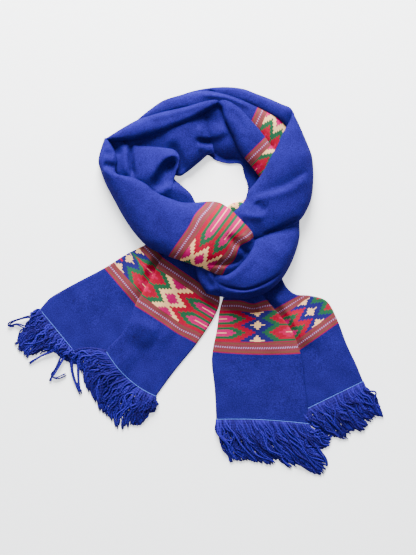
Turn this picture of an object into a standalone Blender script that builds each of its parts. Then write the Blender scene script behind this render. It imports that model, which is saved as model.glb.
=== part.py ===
"""A woollen shawl, folded lengthwise, doubled into a ring, knotted, and laid flat on a surface.

Units are metres with +Z up. The origin is on the surface, under the middle of the shawl. +Y points to the top
of the ring and the two fringed tails lie towards -Y. Tables are in millimetres and are read from above: each
row is one cut across a stretch of cloth, from its edge A to its edge B.
"""

import math
from collections import namedtuple

import bmesh
import bpy
import numpy as np

MM = 0.001
GAP = 0.4  # clearance between two stretches that press on each other
PANEL_STEPS = 2  # sections made for each row of a tail panel's table
TOP_POINTS = 9  # points over the crown of a gathered stretch
PANEL_POINTS = 7  # points across a flat tail panel
CROWN_POWER = 2.35  # above 2 the top of a gathered stretch is fuller than an ellipse
EDGE_INSET = 4.2  # how far the foot of a gathered edge lies in under its outermost ply
PLY_GROOVE = 3.4  # depth of the groove between the upper and the lower plies of an edge
CORNER_SHARE = 1.25  # a corner moves out further than the faces round it
SLIT = 0.06  # points of a cut edge closer than this are one
INSET_SHARE = 0.16  # of its width, at most, that a narrow stretch's foot lies in
GROOVE_SHARE = 0.13  # and that its groove goes in
EDGE_PLIES = ((1.0, 0.0), (0.2, 0.30))  # foot and lower ply: share of the inset, share of the nose's height
GROOVE_HEIGHT = 0.58  # of the nose's height
SIDE_POINTS = len(EDGE_PLIES) + 2  # the plies, the groove and the nose
LIFT_FROM, LIFT_TO = 0.28, 0.52  # where across its width an overlapping panel rises on to the one under it
LIFT_SHIFT = 0.14  # how much further across that is where it is edge B that rises
ROUND_MOST = 3.0  # how far in from its long edges a panel is round

BLUE_WOOL = (0.030, 0.065, 0.420, 1.0)
BLUE_YARN = (0.018, 0.030, 0.330, 1.0)

# A gathered stretch: plan points of its two edges, height of its outermost ply at each, height of its crown
Stretch = namedtuple("Stretch", "ax ay bx by nose_a nose_b crown")
LEFT_SWEEP = [
    (-145, 230, -138, 228, 6, 8, 14),
    (-151, 212, -129, 209, 7, 10, 24),
    (-155, 193, -124, 193, 8, 12, 28),
    (-151, 177, -126, 173, 8, 14, 29),
    (-143, 156, -100, 166, 8, 18, 31),
    (-130, 131, -79, 156, 8, 20, 34),
    (-114, 102, -65, 144, 8, 21, 37),
    (-95, 75, -39, 132, 10, 20, 41),
    (-73, 54, -14, 126, 16, 16, 45),
    (-41, 40, 30, 128, 24, 14, 50),
    (-18, 32, 52, 118, 27, 22, 52),
    (2, 25, 71, 100, 28, 30, 50),
    (20, 21, 89, 80, 26, 30, 42),
    (42, 11, 94, 67, 20, 22, 26),
    (57, 4, 103, 56, 10, 10, 13),
]
RIGHT_SWEEP = [
    (156, 270, 153, 264, 10, 14, 20),
    (164, 254, 146, 249, 9, 20, 28),
    (172, 236, 137, 232, 8, 22, 33),
    (180, 217, 130, 216, 8, 22, 36),
    (186, 200, 121, 200, 8, 22, 38),
    (188, 179, 110, 179, 8, 20, 38),
    (188, 160, 98, 161, 8, 18, 38),
    (186, 139, 84, 144, 9, 15, 38),
    (180, 120, 78, 129, 12, 16, 38),
    (167, 99, 65, 115, 18, 20, 37),
    (143, 84, 52, 102, 22, 20, 34),
    (116, 72, 36, 86, 22, 18, 30),
    (90, 67, 26, 70, 18, 14, 26),
]
LOWER_LOOP = [
    (167, 110, 119, 96, 6, 10, 16),
    (166, 91, 106, 80, 7, 14, 22),
    (166, 72, 94, 67, 8, 20, 31),
    (161, 51, 90, 54, 8, 24, 36),
    (152, 28, 82, 40, 8, 26, 39),
    (139, 6, 71, 27, 9, 26, 40),
    (121, -12, 60, 17, 12, 25, 39),
    (98, -23, 47, 11, 14, 22, 36),
    (71, -28, 36, 12, 14, 18, 32),
    (44, -26, 26, 16, 12, 14, 26),
]
TOP_ROLL = [
    (38, 293, 38, 286, 20, 16, 24),
    (15, 288, 20, 272, 18, 14, 30),
    (-9, 281, 1, 260, 16, 14, 32),
    (-33, 275, -25, 249, 15, 14, 32),
    (-57, 270, -50, 239, 13, 14, 31),
    (-76, 264, -73, 232, 11, 14, 30),
    (-94, 258, -92, 227, 8, 13, 28),
    (-114, 247, -111, 225, 8, 13, 27),
    (-132, 236, -127, 224, 8, 12, 24),
    (-145, 228, -137, 225, 7, 10, 15),
]
INNER_STRAND = [
    (39, 293, 39, 285, 20, 16, 23),
    (50, 291, 41, 277, 19, 14, 29),
    (65, 283, 46, 260, 18, 13, 32),
    (79, 271, 54, 243, 18, 13, 33),
    (92, 256, 61, 227, 17, 12, 32),
    (105, 240, 70, 209, 16, 12, 31),
    (118, 222, 82, 193, 14, 11, 28),
    (130, 206, 94, 179, 11, 10, 24),
    (145, 190, 105, 163, 8, 8, 18),
]
TOP_MIDDLE = [
    (-92, 260, -84, 257, 6, 5, 9),
    (-73, 275, -66, 260, 7, 7, 18),
    (-52, 289, -44, 266, 8, 8, 22),
    (-28, 297, -19, 272, 8, 8, 23),
    (-2, 303, 5, 281, 9, 9, 23),
    (22, 304, 27, 290, 9, 9, 21),
    (44, 300, 44, 289, 9, 9, 20),
    (68, 293, 64, 277, 9, 9, 22),
    (89, 285, 80, 262, 9, 9, 23),
    (110, 276, 95, 243, 9, 9, 22),
    (130, 267, 111, 222, 9, 9, 20),
    (146, 251, 127, 203, 8, 8, 16),
    (156, 232, 142, 187, 6, 6, 12),
]
TOP_OUTER = [
    (-20, 300, -14, 298, 6, 8, 10),
    (1, 306, 6, 299, 7, 12, 17),
    (26, 310, 28, 298, 8, 15, 22),
    (52, 311, 47, 296, 8, 17, 25),
    (76, 308, 66, 290, 8, 18, 27),
    (98, 300, 86, 283, 8, 18, 28),
    (119, 292, 105, 275, 8, 18, 28),
    (137, 284, 122, 266, 8, 18, 27),
    (148, 278, 136, 257, 8, 16, 24),
    (153, 271, 147, 245, 7, 12, 16),
]
INNER_BACK = [
    (8, 278, 7, 211, 8, 6, 13),
    (24, 286, 22, 202, 8, 5, 15),
    (42, 284, 34, 194, 8, 5, 16),
    (52, 252, 52, 189, 8, 5, 16),
    (65, 227, 72, 188, 8, 5, 15),
    (81, 201, 78, 171, 8, 5, 14),
    (97, 182, 84, 152, 8, 5, 14),
    (113, 163, 82, 136, 6, 5, 12),
]
INNER_FOLD = [
    (-136, 232, -126, 204, 5, 5, 8),
    (-106, 236, -96, 200, 6, 5, 10),
    (-66, 246, -52, 180, 7, 6, 13),
    (-41, 254, -28, 169, 8, 7, 19),
    (-22, 260, -14, 175, 8, 7, 21),
    (-4, 268, 6, 191, 8, 7, 20),
    (7, 272, 22, 205, 6, 6, 14),
]
INNER_LEFT = [
    (-137, 195, -121, 220, 6, 8, 12),
    (-124, 166, -100, 218, 8, 12, 20),
    (-102, 156, -73, 216, 10, 14, 24),
    (-82, 147, -47, 213, 10, 14, 25),
    (-70, 137, -31, 208, 10, 13, 25),
    (-57, 129, -24, 193, 10, 12, 24),
    (-46, 124, -30, 176, 10, 9, 22),
    (-38, 121, -35, 164, 9, 8, 20),
    (-25, 118, -23, 152, 8, 8, 18),
    (-12, 116, -9, 140, 7, 7, 15),
    (-1, 116, -1, 126, 5, 5, 9),
]
KNOT_INNER_BAND = [
    (47, 116, 58, 100, 5, 5, 9),
    (58, 125, 71, 110, 6, 6, 12),
    (76, 130, 86, 118, 6, 6, 12),
    (87, 139, 98, 128, 5, 5, 9),
]
KNOT_TUCK = [
    (-6, 38, 23, 24, 12, 12, 20),
    (-1, 22, 26, 9, 12, 12, 22),
    (4, 4, 33, -5, 12, 11, 20),
    (11, -8, 36, -13, 11, 11, 18),
    (18, -19, 38, -21, 10, 10, 14),
]

# A tail panel: plan points of its two edges, how far the row bows out along the tail, the height of its
# underside at each edge, and the thickness of its folded cloth, which is gathered thick next to the knot
Panel = namedtuple("Panel", "ax ay bx by bow lift_a lift_b thick")
TAIL_LEFT_UNDER = [
    (-60, 73, -28, 41, 0, 0, 0, 6),
    (-79, 60, -38, 19, 0, 0, 0, 5),
    (-111, 44, -60, -10, 0, 0, 0, 3.6),
    (-146, 22, -86, -48, 0, 0, 0, 3),
    (-186, 1, -105, -90, 0, 0, 0, 3),
    (-217, -16, -134, -108, 0, 0, 0, 3),
    (-234, -27, -162, -108, 0, 0, 0, 3),
    (-249, -44, -193, -108, 0, 0, 0, 3),
]
TAIL_LEFT_OVER = [
    (-41, 59, 22, 12, 0, 7, 0, 9),
    (-54, 40, 39, -24, 0, 6.2, 0, 8),
    (-74, 1, 30, -56, 0, 4.8, 0, 5),
    (-97, -38, 2, -99, 0, 3.8, 0, 3.2),
    (-105, -61, -15, -120, 0, 3.6, 0, 3),
    (-119, -84, -33, -142, 2, 3.6, 0, 3),
    (-138, -104, -48, -162, 6, 3.6, 0, 3),
    (-142, -112, -63, -183, 9, 3.6, 0, 3),
]
TAIL_RIGHT_FRONT = [
    (50, -10, 100, -7, 0, 0, 6, 10),
    (44, -26, 114, -28, 0, 0, 6, 8),
    (38, -48, 129, -47, 0, 0, 5.2, 5),
    (34, -77, 153, -77, 0, 0, 4.2, 3.5),
    (28, -106, 166, -109, 3, 0, 3.6, 3),
    (26, -130, 172, -135, 2, 0, 3.6, 3),
    (30, -165, 175, -167, 0, 0, 3.6, 3),
    (32, -194, 179, -197, -2, 0, 3.6, 3),
    (33, -220, 182, -227, -3, 0, 3.4, 3),
]
TAIL_RIGHT_REAR = [
    (106, 3, 137, 9, 0, 0, 0, 5),
    (110, -16, 146, -9, 0, 0, 0, 5),
    (116, -39, 161, -20, 0, 0, 0, 4),
    (126, -58, 183, -22, 0, 0, 0, 3.2),
    (138, -77, 210, -31, 0, 0, 0, 3),
    (148, -106, 227, -61, 0, 0, 0, 3),
    (156, -138, 242, -100, 0, 0, 0, 3),
    (162, -173, 257, -132, 0, 0, 0, 3),
    (170, -207, 268, -159, 0, 0, 0, 3),
]

# The largest folds: a line in plan from one end to the other, its half width, and how far it rises or sinks
Fold = namedtuple("Fold", "x0 y0 x1 y1 half_width rise")
FOLDS = {
    "left_sweep": [(-150, 188, -128, 190, 9, -5), (66, 62, 84, 44, 14, -9)],
    "right_sweep": [
        (94, 150, 176, 180, 17, -7),
        (92, 130, 172, 154, 17, 3),
        (92, 118, 108, 98, 15, -5),
    ],
    "lower_loop": [(52, -8, 124, 2, 9, -5)],
    "inner_left": [(-41, 194, -64, 155, 14, -7)],
    "knot_tuck": [(8, 18, 20, -8, 7, -3)],
}

# Fringe: plan points that its tips follow, from the strand at edge A of the panel to the one at edge B
TIPS_LEFT_UNDER = [
    (-301.7, -67), (-272, -84), (-289, -102), (-277, -116), (-262, -124), (-238, -134),
    (-226, -150),
]
TIPS_LEFT_OVER = [
    (-178, -142), (-176, -170), (-154, -196), (-137, -216), (-120, -237), (-100, -230), (-76, -212),
]
TIPS_RIGHT_FRONT = [
    (58, -288), (86, -282), (112, -286), (138, -290), (158, -298), (176, -292), (196, -311),
    (206, -296),
]
TIPS_RIGHT_REAR = [
    (218, -246), (224, -262), (243, -255), (260, -240), (276, -240), (300, -215),
]
STRIP_DEPTH = 2.2  # the knotted roots of a fringe
STRIP_GAP = 0.35  # from the cloth's end to those roots
STRIP_FLOOR = 0.5
STRIP_HEIGHT = 1.7
STRAND_WIDTH = 1.5
STRAND_HEIGHT = 1.3
STRAND_RINGS = (0.25, 0.65, 1.0)  # where along its length a strand has a ring of points
STRAND_SWAY = 1.6
STRAND_TURN = 0.7  # radians by which the sway changes from a strand to the next
STRAND_TAPER = 0.35
STRAND_SINK = 0.3
STRAND_LOW = 0.1  # underside of a strand, over that of its strip


def clear_scene():
    for old in list(bpy.data.objects):
        bpy.data.objects.remove(old, do_unlink=True)


def collection(name, hidden=False):
    made = bpy.data.collections.new(name)
    bpy.context.scene.collection.children.link(made)
    made.hide_render = hidden
    return made


def smooth_rows(table, steps):
    """The table's rows with sections between them, every column on a smooth curve through its values."""
    rows = np.array(table, float)
    last = len(rows) - 1
    made = []
    for i in range(last):
        before, start, end, after = rows[max(i - 1, 0)], rows[i], rows[i + 1], rows[min(i + 2, last)]
        for k in range(steps):
            u = k / steps
            bend = 2 * before - 5 * start + 4 * end - after
            twist = 3 * start - before - 3 * end + after
            made.append(start + 0.5 * u * (end - before + u * (bend + u * twist)))
    made.append(rows[last])
    return made


def smoothstep(low, high, value):
    u = min(max((value - low) / (high - low), 0.0), 1.0)
    return u * u * (3 - 2 * u)


def stretch_outline(width, nose_a, nose_b, crown):
    """(distance from A, height) round a cut through a gathered stretch, from A's foot over the top to B's."""
    inset = min(EDGE_INSET, INSET_SHARE * width)
    groove = min(PLY_GROOVE, GROOVE_SHARE * width)
    sides = []
    for nose in (nose_a, nose_b):
        plies = [(share * inset, height * nose) for share, height in EDGE_PLIES]
        sides.append(plies + [(groove, GROOVE_HEIGHT * nose), (0.0, nose)])
    side_a, side_b = sides
    top = []
    for j in range(1, TOP_POINTS):
        angle = math.pi * j / TOP_POINTS
        power = 2 / CROWN_POWER
        along = 0.5 - 0.5 * math.copysign(abs(math.cos(angle)) ** power, math.cos(angle))
        base = nose_a + along * (nose_b - nose_a)
        top.append((along * width, base + (crown - base) * math.sin(angle) ** power))
    return side_a + top + [(width - d, z) for d, z in reversed(side_b)]


def fold_rise(folds, x, y):
    """How far the folds of a stretch lift or sink its top at a plan point."""
    total = 0.0
    for row in folds:
        fold = Fold(*row)
        length = math.hypot(fold.x1 - fold.x0, fold.y1 - fold.y0)
        ux, uy = (fold.x1 - fold.x0) / length, (fold.y1 - fold.y0) / length
        along = (x - fold.x0) * ux + (y - fold.y0) * uy
        aside = (y - fold.y0) * ux - (x - fold.x0) * uy
        past = max(-along, along - length, 0.0)
        total += fold.rise * math.exp(-((aside / fold.half_width) ** 2) - (past / fold.half_width) ** 2)
    return total


def stretch_rings(table, steps, folds):
    """The rings of points of a gathered stretch, one for each section."""
    rings = []
    for row in smooth_rows(table, steps):
        cut = Stretch(*row)
        width = math.hypot(cut.bx - cut.ax, cut.by - cut.ay)
        ux, uy = (cut.bx - cut.ax) / width, (cut.by - cut.ay) / width
        outline = stretch_outline(width, cut.nose_a, cut.nose_b, cut.crown)
        ring = []
        for i, (d, z) in enumerate(outline):
            x, y = cut.ax + ux * d, cut.ay + uy * d
            if SIDE_POINTS <= i < len(outline) - SIDE_POINTS:
                z += fold_rise(folds, x, y)
            ring.append((x, y, z))
        rings.append(ring)
    return rings


def way_along(before, after):
    """The direction in plan from the middle of one section of a panel to the middle of another."""
    step = np.array([after.ax + after.bx, after.ay + after.by]) - (before.ax + before.bx, before.ay + before.by)
    return step / np.hypot(*step)


def panel_rings(table):
    """The rings of points of a tail panel: a folded sheet whose two long edges are round."""
    rings = []
    sections = [Panel(*row) for row in smooth_rows(table, PANEL_STEPS)]
    for i, cut in enumerate(sections):
        step = way_along(sections[max(i - 1, 0)], sections[min(i + 1, len(sections) - 1)])
        width = math.hypot(cut.bx - cut.ax, cut.by - cut.ay)
        ux, uy = (cut.bx - cut.ax) / width, (cut.by - cut.ay) / width
        round_in = min(cut.thick * 0.5, ROUND_MOST)
        lower, upper = [], []
        for j in range(PANEL_POINTS):
            t = j / (PANEL_POINTS - 1)
            d = round_in + t * (width - 2 * round_in)
            rise = smoothstep(LIFT_FROM, LIFT_TO, t if cut.lift_a else t - LIFT_SHIFT)
            under = cut.lift_a + (cut.lift_b - cut.lift_a) * rise
            out = cut.bow * 4 * (d / width) * (1 - d / width)
            x, y = cut.ax + ux * d + step[0] * out, cut.ay + uy * d + step[1] * out
            lower.append((x, y, under))
            upper.append((x, y, under + cut.thick))
        edge_a = (cut.ax, cut.ay, cut.lift_a + cut.thick * 0.5)
        edge_b = (cut.bx, cut.by, cut.lift_b + cut.thick * 0.5)
        rings.append([edge_a] + upper + [edge_b] + lower[::-1])
    return rings


def lofted(name, rings, where):
    """A closed solid through rings of equal length."""
    mesh = bpy.data.meshes.new(name)
    shape = bmesh.new()
    loops = [[shape.verts.new([c * MM for c in point]) for point in ring] for ring in rings]
    count = len(loops[0])
    for near, far in zip(loops, loops[1:]):
        for i in range(count):
            after = (i + 1) % count
            shape.faces.new((near[i], near[after], far[after], far[i]))
    shape.faces.new(loops[0][::-1])
    shape.faces.new(loops[-1])
    bmesh.ops.recalc_face_normals(shape, faces=shape.faces)
    bmesh.ops.triangulate(shape, faces=shape.faces)
    shape.to_mesh(mesh)
    shape.free()
    mesh.shade_smooth()
    made = bpy.data.objects.new(name, mesh)
    where.objects.link(made)
    return made


def finish(piece, colour, roughness=0.9):
    material = bpy.data.materials.new(piece.name + "_wool")
    material.use_nodes = True
    shader = material.node_tree.nodes["Principled BSDF"]
    shader.inputs["Base Color"].default_value = colour
    shader.inputs["Roughness"].default_value = roughness
    shader.inputs["Metallic"].default_value = 0.0
    piece.data.materials.append(material)


def pressing_shape(piece, where):
    """The piece's own form, larger by the clearance all over, which cuts its place in what it lies on."""
    mesh = piece.data.copy()
    shape = bmesh.new()
    shape.from_mesh(mesh)
    shape.normal_update()
    for point in shape.verts:
        point.co += point.normal * (GAP * CORNER_SHARE * MM)
    shape.to_mesh(mesh)
    shape.free()
    made = bpy.data.objects.new(piece.name + "_place", mesh)
    where.objects.link(made)
    made.hide_render = True
    made.display_type = "WIRE"
    return made


def press(piece, cutter):
    """What lies on top presses its own place into the piece under it."""
    cut = piece.modifiers.new("under_" + cutter.name, "BOOLEAN")
    cut.operation = "DIFFERENCE"
    cut.solver = "EXACT"
    cut.use_self = True
    cut.object = cutter


def tidy_cuts(piece):
    """Closes the hair-thin slits that cuts leave where two of them meet."""
    weld = piece.modifiers.new("closed_slits", "WELD")
    weld.merge_threshold = SLIT * MM


def end_line(table, count):
    """count + 1 points along the end of a tail panel, and the direction in which its fringe leaves."""
    before, end = [Panel(*row) for row in smooth_rows(table, PANEL_STEPS)[-2:]]
    step = way_along(before, end)
    points = []
    for k in range(count + 1):
        t = k / count
        out = end.bow * 4 * t * (1 - t) + STRIP_GAP
        across = np.array([end.ax + (end.bx - end.ax) * t, end.ay + (end.by - end.ay) * t])
        points.append(across + step * out)
    return points, step


def along_line(points, share):
    """The point at this share of a line through the given points."""
    place = share * (len(points) - 1)
    i = min(int(place), len(points) - 2)
    return np.array(points[i]) + (place - i) * (np.array(points[i + 1]) - np.array(points[i]))


def fringe(name, panel, tips, count, where):
    """A strip of roots along the panel's end, with one four-sided strand drawn out of each of its cells."""
    line, step = end_line(panel, count)
    shape = bmesh.new()
    posts = []
    for k, point in enumerate(line):
        toward = line[min(k + 1, count)] - line[max(k - 1, 0)]
        normal = np.array([toward[1], -toward[0]]) / np.hypot(*toward)
        if normal @ step < 0:
            normal = -normal
        outer = point + normal * STRIP_DEPTH
        low, high = STRIP_FLOOR, STRIP_FLOOR + STRIP_HEIGHT
        corners = [(*point, low), (*point, high), (*outer, high), (*outer, low)]
        posts.append([shape.verts.new([c * MM for c in corner]) for corner in corners])
    for k in range(count):
        here, there = posts[k], posts[k + 1]
        for i in (3, 0, 1):
            after = (i + 1) % 4
            shape.faces.new((here[i], here[after], there[after], there[i]))
        root = (line[k] + line[k + 1]) / 2
        tip = along_line(tips, (k + 0.5) / count)
        way = tip - root
        side = np.array([way[1], -way[0]]) / np.hypot(*way)
        if side @ (line[k + 1] - line[k]) < 0:
            side = -side
        sway = STRAND_SWAY * math.sin(STRAND_TURN * k)
        loop = [here[3], here[2], there[2], there[3]]
        for ring in STRAND_RINGS:
            middle = root + way * ring + side * sway * math.sin(math.pi * ring)
            half = 0.5 * STRAND_WIDTH * (1 - STRAND_TAPER * ring)
            low = STRIP_FLOOR + STRAND_LOW
            high = low + STRAND_HEIGHT * (1 - STRAND_SINK * ring)
            left, right = middle - side * half, middle + side * half
            corners = [(*left, low), (*left, high), (*right, high), (*right, low)]
            new = [shape.verts.new([c * MM for c in corner]) for corner in corners]
            for i in range(4):
                after = (i + 1) % 4
                shape.faces.new((loop[i], loop[after], new[after], new[i]))
            loop = new
        shape.faces.new(loop)
    shape.faces.new(posts[0])
    shape.faces.new(posts[count][::-1])
    bmesh.ops.recalc_face_normals(shape, faces=shape.faces)
    bmesh.ops.triangulate(shape, faces=shape.faces)
    mesh = bpy.data.meshes.new(name)
    shape.to_mesh(mesh)
    shape.free()
    made = bpy.data.objects.new(name, mesh)
    where.objects.link(made)
    finish(made, BLUE_YARN)
    return made


clear_scene()
shawl = collection("pashmina_shawl")
cutters = collection("pressing_shapes", hidden=True)

# Each stretch with what lies on it, from the top of the heap down
STACK = [
    ("left_sweep", LEFT_SWEEP, 2, ()),
    ("right_sweep", RIGHT_SWEEP, 2, ("left_sweep",)),
    ("lower_loop", LOWER_LOOP, 2, ("left_sweep", "right_sweep")),
    ("top_roll", TOP_ROLL, 1, ("left_sweep",)),
    ("inner_strand", INNER_STRAND, 1, ("right_sweep",)),
    ("top_outer", TOP_OUTER, 2, ("right_sweep",)),
    ("top_middle", TOP_MIDDLE, 1, ("right_sweep", "top_roll", "inner_strand", "top_outer")),
    ("inner_left", INNER_LEFT, 1, ("left_sweep", "top_roll")),
    ("inner_fold", INNER_FOLD, 1, ("left_sweep", "top_roll", "inner_left")),
    ("inner_back", INNER_BACK, 1, ("right_sweep", "top_roll", "inner_strand", "inner_fold")),
    ("knot_inner_band", KNOT_INNER_BAND, 2, ("left_sweep", "right_sweep")),
    ("knot_tuck", KNOT_TUCK, 2, ("left_sweep",)),
]
PANELS = [
    ("tail_left_over", TAIL_LEFT_OVER, ("left_sweep", "lower_loop", "knot_tuck")),
    ("tail_left_under", TAIL_LEFT_UNDER, ("left_sweep",)),
    ("tail_right_front", TAIL_RIGHT_FRONT, ("lower_loop",)),
    ("tail_right_rear", TAIL_RIGHT_REAR, ("lower_loop",)),
]
pressing = {}
for name, table, steps, above in STACK:
    piece = lofted(name, stretch_rings(table, steps, FOLDS.get(name, [])), shawl)
    finish(piece, BLUE_WOOL)
    for upper in above:
        press(piece, pressing[upper])
    tidy_cuts(piece)
    pressing[name] = pressing_shape(piece, cutters)

for name, table, above in PANELS:
    piece = lofted(name, panel_rings(table), shawl)
    finish(piece, BLUE_WOOL)
    for upper in above:
        press(piece, pressing[upper])
    tidy_cuts(piece)

fringe("fringe_left_under", TAIL_LEFT_UNDER, TIPS_LEFT_UNDER, 26, shawl)
fringe("fringe_left_over", TAIL_LEFT_OVER, TIPS_LEFT_OVER, 34, shawl)
fringe("fringe_right_front", TAIL_RIGHT_FRONT, TIPS_RIGHT_FRONT, 46, shawl)
fringe("fringe_right_rear", TAIL_RIGHT_REAR, TIPS_RIGHT_REAR, 34, shawl)
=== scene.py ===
"""A royal-blue wool shawl with woven bands and a twisted fringe at each end, looped, knotted and laid flat.

Units are metres with +Z up, and +Y points to the top of the ring. Tables are in millimetres and are read from
above: each row is one cut across a stretch of cloth, from its edge A to its edge B.
"""
import math
from collections import namedtuple

import bmesh
import bpy
import numpy as np
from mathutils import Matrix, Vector, noise


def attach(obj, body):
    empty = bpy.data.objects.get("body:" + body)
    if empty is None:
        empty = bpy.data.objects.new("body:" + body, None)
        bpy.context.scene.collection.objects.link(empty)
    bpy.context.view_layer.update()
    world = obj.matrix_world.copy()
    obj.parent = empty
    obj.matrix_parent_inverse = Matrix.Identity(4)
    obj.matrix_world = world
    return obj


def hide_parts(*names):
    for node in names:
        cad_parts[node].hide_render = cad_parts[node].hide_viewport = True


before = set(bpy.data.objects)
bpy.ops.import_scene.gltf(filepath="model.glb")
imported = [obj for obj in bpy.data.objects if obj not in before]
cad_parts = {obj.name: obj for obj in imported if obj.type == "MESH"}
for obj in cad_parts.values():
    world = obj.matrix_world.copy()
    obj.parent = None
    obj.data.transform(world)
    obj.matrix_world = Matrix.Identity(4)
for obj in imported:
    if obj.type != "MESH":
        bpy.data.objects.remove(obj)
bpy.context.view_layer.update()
bpy.ops.object.select_all(action="DESELECT")


# The ground, the light and the camera: a white sheet under one large soft window and a faint ceiling light,
# with the camera straight above. The window lies past the top of the ring, so the lower flanks go dark.
FLOOR_SIZE = 6.0
FLOOR_WHITE = (0.88, 0.89, 0.90, 1.0)
FLOOR_ROUGHNESS = 0.9
FLOOR_GLOW = 0.9  # the white sheet is lit from below as well, which keeps its shadows faint
LENS = 150.0
SENSOR = 36.0
VIEW_MIDDLE = (0.020, 0.0069)
VIEW_HEIGHT = 0.888  # metres of ground from the lower to the upper edge of the picture

bpy.ops.mesh.primitive_plane_add(size=FLOOR_SIZE)
floor = bpy.context.object
floor.name = "white_ground"
paper = bpy.data.materials.new("white_ground")
paper.use_nodes = True
paper_sockets = paper.node_tree.nodes["Principled BSDF"].inputs
paper_sockets["Base Color"].default_value = FLOOR_WHITE
paper_sockets["Roughness"].default_value = FLOOR_ROUGHNESS
paper_sockets["Emission Color"].default_value = FLOOR_WHITE
paper_sockets["Emission Strength"].default_value = FLOOR_GLOW
floor.data.materials.append(paper)

camera = bpy.data.objects.new("camera", bpy.data.cameras.new("camera"))
camera.data.lens = LENS
camera.data.sensor_width = SENSOR
camera.data.clip_end = 20.0
camera.location = (*VIEW_MIDDLE, VIEW_HEIGHT * LENS / SENSOR)
bpy.context.scene.collection.objects.link(camera)
bpy.context.scene.camera = camera

Lamp = namedtuple("Lamp", "x y z size power")
LAMPS = {
    "window": Lamp(-0.15, 2.15, 1.12, 1.2, 410.0),
    "ceiling": Lamp(0.10, 0.40, 3.20, 2.5, 25.0),
}
ROOM_LIGHT = (0.90, 0.93, 1.0, 1.0)
ROOM_STRENGTH = 0.54
for name, lamp in LAMPS.items():
    light = bpy.data.objects.new(name, bpy.data.lights.new(name, "AREA"))
    light.data.size = lamp.size
    light.data.energy = lamp.power
    light.location = (lamp.x, lamp.y, lamp.z)
    light.rotation_euler = (-Vector(light.location)).to_track_quat("-Z", "Y").to_euler()
    bpy.context.scene.collection.objects.link(light)
world = bpy.data.worlds.new("studio")
world.use_nodes = True
world.node_tree.nodes["Background"].inputs["Color"].default_value = ROOM_LIGHT
world.node_tree.nodes["Background"].inputs["Strength"].default_value = ROOM_STRENGTH
bpy.context.scene.world = world


# The stretch down the left side, which crosses the knot: the shawl's wool cloth, folded lengthwise and
# gathered, with a woven band lying over the knot. The cloth is a shell over its hidden folds.
MM = 0.001
Cut = namedtuple("Cut", "ax ay bx by nose_a nose_b crown")
LEFT_SWEEP = [
    (-145, 230, -138, 228, 6, 8, 14),
    (-151, 212, -129, 209, 7, 10, 24),
    (-155, 193, -124, 193, 8, 12, 28),
    (-151, 177, -126, 173, 8, 14, 29),
    (-143, 156, -100, 166, 8, 18, 31),
    (-130, 131, -79, 156, 8, 20, 34),
    (-114, 102, -65, 144, 8, 21, 37),
    (-95, 75, -39, 132, 10, 20, 41),
    (-73, 54, -14, 126, 16, 16, 45),
    (-41, 40, 30, 128, 24, 14, 50),
    (-18, 32, 52, 118, 27, 22, 52),
    (2, 25, 71, 100, 28, 30, 50),
    (20, 18, 89, 80, 26, 30, 42),
    (42, 8, 94, 67, 20, 22, 34),
    (58, 2, 104, 55, 14, 14, 24),
]
CROWN_POWER = 2.35  # above 2 the top of a gathered stretch is fuller than an ellipse
TOP_POINTS = 17  # over the crown, between the two noses
ACROSS_STEPS = 4  # points made for each of these
ROW_STEPS = 9  # sections made for each row of a table
EDGE_INSET = 4.2  # how far the foot of a gathered edge lies in under its outermost ply
INSET_SHARE = 0.16
PLY_GROOVE = 3.4  # depth of the groove between the upper and the lower plies of an edge
GROOVE_SHARE = 0.13
EDGE_PLIES = ((1.0, 0.0), (0.2, 0.30))  # foot and lower ply: share of the inset, share of the nose's height
GROOVE_HEIGHT = 0.58
CLOTH = 1.1  # thickness of the doubled wool


def eased(table, steps):
    """The table's rows with more between them on a smooth curve, and the place of each in the table."""
    rows = np.array(table, float)
    last = len(rows) - 1
    places = np.linspace(0, last, last * steps + 1)
    i = np.minimum(places.astype(int), last - 1)
    u = (places - i)[:, None]
    before, start = rows[np.maximum(i - 1, 0)], rows[i]
    end, after = rows[i + 1], rows[np.minimum(i + 2, last)]
    bend = 2 * before - 5 * start + 4 * end - after
    twist = 3 * start - before - 3 * end + after
    return start + 0.5 * u * (end - before + u * (bend + u * twist)), places


def smoothstep(low, high, value):
    u = np.clip((value - low) / (high - low), 0.0, 1.0)
    return u * u * (3 - 2 * u)


def gathered_section(cut):
    """(distance from A, height) over one cut through a gathered stretch, from A's foot to B's."""
    width = math.hypot(cut.bx - cut.ax, cut.by - cut.ay)
    inset = min(EDGE_INSET, INSET_SHARE * width)
    groove = min(PLY_GROOVE, GROOVE_SHARE * width)
    sides = []
    for nose in (cut.nose_a, cut.nose_b):
        plies = [(share * inset, height * nose) for share, height in EDGE_PLIES]
        sides.append(plies + [(groove, GROOVE_HEIGHT * nose), (0.0, nose)])
    top = []
    for j in range(1, TOP_POINTS):
        angle = math.pi * j / TOP_POINTS
        power = 2 / CROWN_POWER
        along = 0.5 - 0.5 * math.copysign(abs(math.cos(angle)) ** power, math.cos(angle))
        base = cut.nose_a + along * (cut.nose_b - cut.nose_a)
        top.append((along * width, base + (cut.crown - base) * math.sin(angle) ** power))
    points = sides[0] + top + [(width - d, z) for d, z in reversed(sides[1])]
    return eased(points, ACROSS_STEPS)[0], width


# A crease is a line in plan with a soft slope on each side: how wide the slope to its left and to its right
# is, as the line runs, and how far the crease rises or sinks
Crease = namedtuple("Crease", "line left right rise")
CREASE_STEPS = 6
FADE_FROM, FADE_TO = -0.02, 0.28  # share of its length over which a crease fades at each end
CREASE_LOW = 1.5  # height below which no crease presses the cloth
FULL_HEIGHT = 9.0  # height from which a gathered stretch takes its creases fully


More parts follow.
